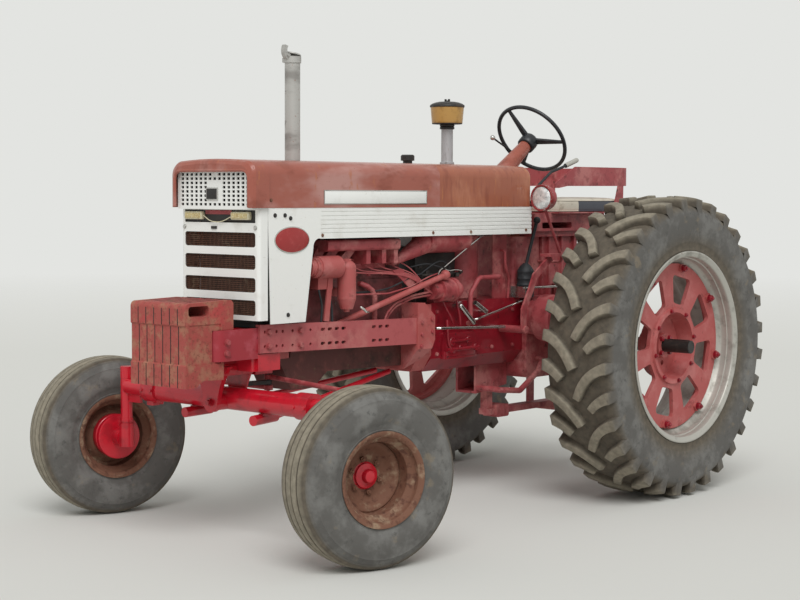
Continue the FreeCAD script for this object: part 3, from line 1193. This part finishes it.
SEAT_HALF = 245.0
SEAT_FRONT_X = A + 106.0
SEAT_REAR_X = A - 652.0
SEAT_BAND_TOP = 1757.0
SEAT_PAN_TOP = 1505.0
CUSHION_REAR_X = A - 542.0


def seat_frame():
    """A pan and the band that wraps round the back at elbow height, on two sloping legs."""
    t = 6.0
    r = 130.0
    x0, x1, y = SEAT_REAR_X, SEAT_FRONT_X + 30, SEAT_HALF

    def bow(grow, z0, z1):
        yy, xx, rr = y + grow, x0 - grow, r + grow
        ll = rr * (1 - math.sqrt(0.5))
        return plan_form(z0, z1, (x1, yy), ((xx + rr, yy),), ((xx + ll, yy - ll), (xx, yy - rr)),
                         ((xx, -yy + rr),), ((xx + ll, -yy + ll), (xx + rr, -yy)), ((x1, -yy),))

    top = SEAT_BAND_TOP
    band = bow(0, top - 119, top).cut(bow(-t, top - 130, top + 10))
    over = side_form(-300, 300, (x1 + 5, top + 10), ((x1 + 5, top - 96),), ((x1 - 210, top + 10),))
    under = side_form(-300, 300, (x1 + 5, top - 125), ((x0 - 5, top - 125),), ((x0 - 5, top - 104),),
                      ((x1 - 120, top - 107),))
    shapes = [cut_all(band, [over, under])]
    for side in (1, -1):
        y0, y1 = sorted((side * y, side * (y - t)))
        shapes.append(side_form(y0, y1, (A - 536, top - 5), ((A - 478, top - 107),),
                                ((A - 430, SEAT_PAN_TOP - 3),), ((A - 530, SEAT_PAN_TOP - 3),)))
    shapes.append(block(x0 + 60, SEAT_FRONT_X - 6, -y, y, SEAT_FLOOR + PANEL_GAP, SEAT_PAN_TOP))
    save("seat_frame", joined(shapes))


def seat_cushion():
    cushion = block(CUSHION_REAR_X, SEAT_FRONT_X, -SEAT_HALF + 8, SEAT_HALF - 8, SEAT_PAN_TOP + PANEL_GAP, 1588)
    save("seat_cushion", rounded(cushion, 30.0, Vector(0, 0, 1)))


def levers():
    """Gear lever in its boot, a long hand lever beside the seat and a small one on the column."""
    x, y = A + 315, 180.0
    floor = CASE_TOP + PANEL_GAP
    boot = upright_turned(x, y, (0, floor), ((46, floor),), ((46, 1104),), ((44, 1110),), ((44, 1185),),
                          ((34, 1206), (16, 1225)), ((0, 1225),))
    knob = Vector(A + 260, 214, 1462)
    gear = joined([boot, bar(Vector(x, y, 1210), knob, 9.0), Part.makeSphere(19.0, knob)])
    grip_start, grip_end = Vector(A + 12, 222, 1761), Vector(A - 99, 222, 1795)
    hand = joined([bent_rod([Vector(A + 310, BOX_HALF + PANEL_GAP, 1560), Vector(A + 310, 222, 1560),
                             Vector(A + 256, 222, 1654), Vector(A + 146, 222, 1725), Vector(A + 53, 222, 1749),
                             grip_end], 7.5, 18.0), bar(grip_start, grip_end, 12.0)])
    sleeve = Vector(A + 129, -30, 1841)
    tip = Vector(A + 305, -62, 1914)
    throttle = joined([bar(sleeve, sleeve + Vector(0, -32, 0), 6.0), bar(sleeve + Vector(0, -32, 0), tip, 5.0),
                       Part.makeSphere(13.0, tip)])
    throttle = throttle.cut(block(A, A + 200, -39.3, 0, 1700, 1880))
    save("levers", Part.makeCompound([gear, hand, throttle]))


def pedals():
    """Flat arms that rise from a cross pivot to the pads."""
    arm = strap(324, 336, 19.0, [(A + 290, 1262), (A + 433, 1166), (A + 470, 1093), (A + 530, 991),
                                 (A + 529, 885)])
    pad = rounded(block(A + 243, A + 345, 290, 370, 1268, 1284), 12.0, Vector(0, 0, 1))
    pivot = bar(Vector(A + 522, CASE_HALF + 0.3, 884), Vector(A + 522, 345, 884), 20.0)
    save("pedals", pair(joined([arm, pad, pivot])))


def drawbar():
    """Swinging drawbar in its clevis, with the hangers that carry it and a bent guard tube."""
    top = CASE_BOTTOM - PANEL_GAP
    bar_shape = rounded(block(A - 790, A + 450, -38, 38, 395, 427), 12.0, Vector(0, 0, 1))
    pin_hole = bar(Vector(A - 740, 0, 380), Vector(A - 740, 0, 440), 16.0)
    plates = [side_form(y - 7, y + 7, (A + 335, 560), ((A + 606, 529),), ((A + 606, top),), ((A + 335, top),))
              for y in (63, -63)]
    floor = side_form(-70, 70, (A + 400, 552), ((A + 606, 529),), ((A + 606, 541),), ((A + 400, 564),))
    clevis = rounded(block(A + 285, A + 394, -50, 50, 378, 446), 14.0, Vector(0, 1, 0))
    link = block(A + 400, A + 448, -22, 22, 403, 556)
    cradle = [block(A - 190, A - 140, -150, -130, 371, HOUSING_BOTTOM - PANEL_GAP),
              block(A - 190, A - 140, 130, 150, 371, HOUSING_BOTTOM - PANEL_GAP),
              block(A - 190, A - 140, -150, 150, 371, 395)]
    guard = bent_rod([Vector(A + 232, HOUSING_HALF + PANEL_GAP, 704), Vector(A + 232, 238, 704),
                      Vector(A + 271, 238, 638), Vector(A + 436, 238, 545), Vector(A + 590, 238, 560),
                      Vector(A + 590, 62, 560)], 15.6, 22.0)
    shapes = [bar_shape, floor, clevis, link, guard] + plates + cradle
    save("drawbar", joined(shapes).cut(pin_hole))


def pto_shaft():
    guard = bar(Vector(HOUSING_REAR_X - PANEL_GAP, 0, 700), Vector(A - 270, 0, 700), 55.0)
    shaft = bar(Vector(A - 270, 0, 700), Vector(A - 370, 0, 700), 17.5)
    save("pto_shaft", joined([guard, shaft]))


for wheel_side, wheel_name in ((1, "left"), (-1, "right")):
    rear_wheel(wheel_side, wheel_name)
    front_wheel(wheel_side, wheel_name)
    knuckle(wheel_side, wheel_name)
for build in (front_axle, axle_extensions, axle_stays, steering_linkage, frame_rails, front_bolster,
              weight_bracket, weights, bonnet, grille, grille_screen, lamp_bar, side_panels, louvre_panels, engine_block, oil_pan,
              manifolds, generator, fuel_filters, injection_pump, intake_duct, engine_pipes, control_rods,
              steering_shaft, radiator, fan,
              bell_housing, transmission_case, rear_axle_housing, seat_platform, column_cover,
              steering_wheel, exhaust_stack, precleaner, filler_cap, headlights, seat_frame, seat_cushion, levers,
              pedals, drawbar, pto_shaft):
    build()
